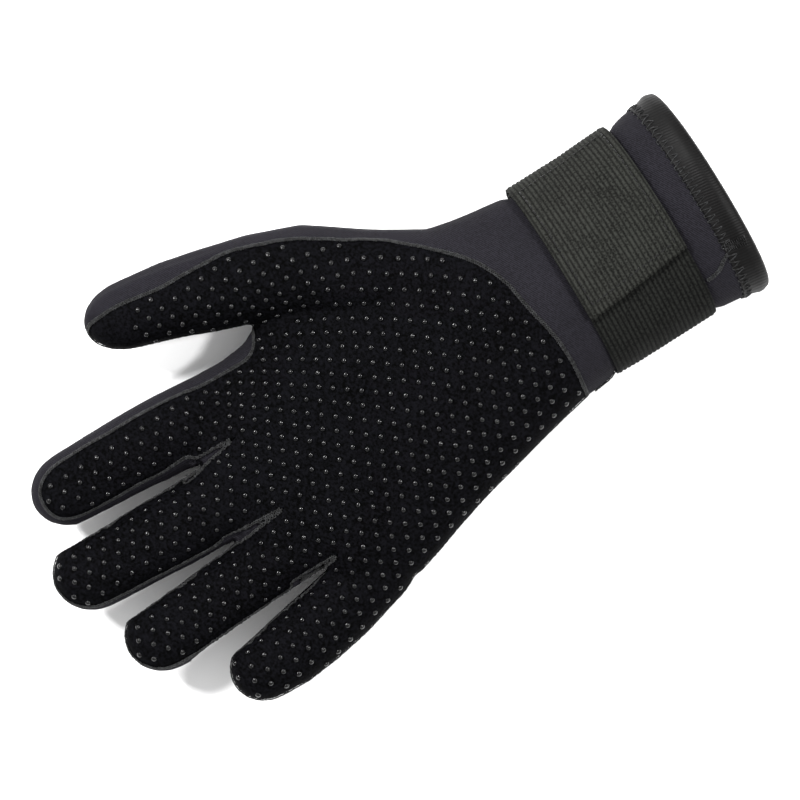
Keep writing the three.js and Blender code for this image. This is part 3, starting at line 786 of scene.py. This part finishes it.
def tab_angles(near):
    """The first and last angle of the tab round the wrist, near one of its long edges."""
    angles = [math.degrees(math.atan2(v.co.z - axis.z, v.co.x - axis.x)) for v in tab_cad.verts
              if abs(v.co.y - near) < 0.003]
    return min(angles), max(angles)


first, low_end = tab_angles(tab_low.y)
_, high_end = tab_angles(tab_high.y)
tab_cad.free()
tab_turns = (first, (low_end + high_end) / 2)
tab_lean = high_end - low_end
tab_rows = webbing_rows(tab_low.y, tab_high.y, TAB_INNER, TAB_OUTER, CROWN)
new_piece("tab_webbing", round_wrist(tab_rows, tab_turns, tab_lean),
          [tab_elastic], "elastic_webbing", "strap_tab")

# The stitches' distance from the tab's long edges, and in degrees from its two ends
BORDER = 0.0028
BORDER_START = 38
BORDER_END = 9.5
TAB_STITCH = 0.0026


def on_tab(y, angle):
    """A place on the tab's upper side."""
    middle = (tab_low.y + tab_high.y) / 2
    share = (angle - tab_turns[0]) / (tab_turns[1] - tab_turns[0])
    lean = tab_lean * share * (y - middle) / STRAP_WIDTH
    return wrist_point(y, math.radians(angle + lean), TAB_OUTER + RIB_HEIGHT + 0.0002)


start_angle, end_angle = tab_turns[0] + BORDER_START, tab_turns[1] - BORDER_END
low_y, high_y = tab_low.y + BORDER, tab_high.y - BORDER
border = [on_tab(low_y, start_angle + (end_angle - start_angle) * k / 40) for k in range(41)]
border += [on_tab(low_y + (high_y - low_y) * k / 20, end_angle) for k in range(1, 21)]
border += [on_tab(high_y, end_angle + (start_angle - end_angle) * k / 40) for k in range(1, 41)]
border += [on_tab(high_y + (low_y - high_y) * k / 20, start_angle) for k in range(1, 20)]
border = resampled(border, TAB_STITCH / 6, closed=True)
dashes = [border[k:k + 5] for k in range(0, len(border) - 5, 6)]
new_piece("tab_stitches", thread(dashes, THREAD), [black_thread], "seam_thread")

# Cuff binding: a woven polyamide tape folded over the raw rim, outside and inside, and held by
# one line of zigzag stitches along its inner edge. It is a little shiny and swells over the rim.
BIND_WIDTH = 0.0100
BIND_OUT = 0.0015
BIND_SWELL = 0.0004
BIND_FOLD = 0.0015
SLEEVE_WALL = 0.0025
FOLD_STEPS = 8
rim_y = bound_low.y
edge_y = rim_y + BIND_WIDTH
ease_y = rim_y + (bound_high.y - bound_low.y) / 2
# Its section: the outer layer from its stitched edge to the rim, the fold, and the inner layer
binding_rows = [(rim_y + 0.0012, 0.0002), (edge_y, 0.0002), (edge_y, 0.0005),
                (edge_y - 0.0004, 0.0007), (edge_y - 0.0018, 0.0007),
                (edge_y - 0.0032, 0.0010), (edge_y - 0.0048, BIND_OUT),
                (rim_y + BIND_WIDTH * 0.42, BIND_OUT + BIND_SWELL),
                (rim_y + BIND_WIDTH * 0.28, BIND_OUT + BIND_SWELL)]
for k in range(FOLD_STEPS + 1):
    turn = math.pi * k / FOLD_STEPS
    reach = BIND_OUT + SLEEVE_WALL / 2
    binding_rows.append((rim_y + BIND_FOLD * (1 - math.sin(turn)),
                         -SLEEVE_WALL / 2 + reach * math.cos(turn)))
binding_rows += [(rim_y + BIND_WIDTH * 0.6, -SLEEVE_WALL - BIND_OUT),
                 (edge_y, -SLEEVE_WALL - 0.001), (edge_y, -SLEEVE_WALL - 0.0003),
                 (rim_y + 0.0012, -SLEEVE_WALL - 0.0003)]

tape, tree = new_material("black_woven_polyamide_tape")
place = add_node(tree, "ShaderNodeTexCoord")
turned = add_node(tree, "ShaderNodeMapping", {
    "Vector": place.outputs["Object"], "Rotation": (0, 0, math.radians(8))})
weft = add_node(tree, "ShaderNodeTexWave", {
    "Vector": turned.outputs["Vector"], "Scale": 0.314 / 0.0009, "Distortion": 1.0, "Detail": 1.0},
    wave_type="BANDS", bands_direction="X")
slub = add_node(tree, "ShaderNodeTexNoise", {
    "Vector": place.outputs["Object"], "Scale": 900.0, "Detail": 2.0, "Roughness": 0.6})
weave = add_node(tree, "ShaderNodeMix", {
    "Factor": 0.5, "A": weft.outputs["Fac"], "B": slub.outputs["Fac"]})
colour = add_node(tree, "ShaderNodeMix", {
    "Factor": weave.outputs["Result"], "A": linear("#020202"), "B": linear("#0d0c0c")},
    data_type="RGBA")
relief = add_node(tree, "ShaderNodeBump", {
    "Height": weave.outputs["Result"], "Strength": 0.5, "Distance": 0.0002})
shine = add_node(tree, "ShaderNodeMapRange", {
    "Value": slub.outputs["Fac"], "To Min": 0.42, "To Max": 0.6})
surface = add_node(tree, "ShaderNodeBsdfPrincipled", {
    "Base Color": colour.outputs["Result"], "Roughness": shine.outputs["Result"],
    "Specular IOR Level": 0.10, "Normal": relief.outputs["Normal"]})
add_node(tree, "ShaderNodeOutputMaterial", {"Surface": surface.outputs["BSDF"]})
new_piece("rim_binding", round_wrist(binding_rows, least_y=ease_y), [tape],
          "binding_tape", "cuff_binding")

# Zigzag of grey thread that catches the tape's edge and the neoprene beside it, every 3 mm. Each
# stroke is given by share of the way round and of the way in from the neoprene to the tape.
ZIGZAG = 0.0030
ZIGZAG_WIDTH = 0.0032
WRIST_RADIUS = 0.033
BINDING_THREAD = 0.00018
STROKE = ((0.0, 0.0), (0.16, 0.55), (0.30, 1.0), (0.44, 1.0), (0.58, 0.5), (0.78, 0.0))
turn_step = 360 / round(2 * math.pi * WRIST_RADIUS / ZIGZAG)
zigzag = []
for k in range(round(360 / turn_step)):
    for share, way_in in STROKE:
        y = edge_y + 0.0004 - ZIGZAG_WIDTH * way_in
        height = 0.0003 if way_in < 0.2 else 0.0009
        angle = math.radians((k + share) * turn_step + chance.uniform(-0.5, 0.5))
        zigzag.append(wrist_point(y, angle, height))
# A bar of crossed stitches where the sleeve's seam runs under the tape
TACK_STITCHES = 22
tack_at = sleeve_line[0]
tack_angle = math.atan2(tack_at.z - axis.z, tack_at.x - axis.x)
tack = []
for k in range(TACK_STITCHES):
    y = rim_y + BIND_WIDTH * (0.25 + 0.035 * k)
    swing = (0.05 if k % 2 else -0.05) * chance.uniform(0.7, 1.2)
    angle = tack_angle + swing - 0.06 * k / TACK_STITCHES
    tack.append(wrist_point(y, angle, BIND_OUT + BIND_SWELL + 0.0002, ease_y))
binding_threads = thread([zigzag], BINDING_THREAD, True)
bar = thread([tack], BINDING_THREAD)
bar_mesh = bpy.data.meshes.new("bar")
bar.to_mesh(bar_mesh)
bar.free()
binding_threads.from_mesh(bar_mesh)
bpy.data.meshes.remove(bar_mesh)
new_piece("binding_stitches", binding_threads, [grey_thread], "seam_thread")
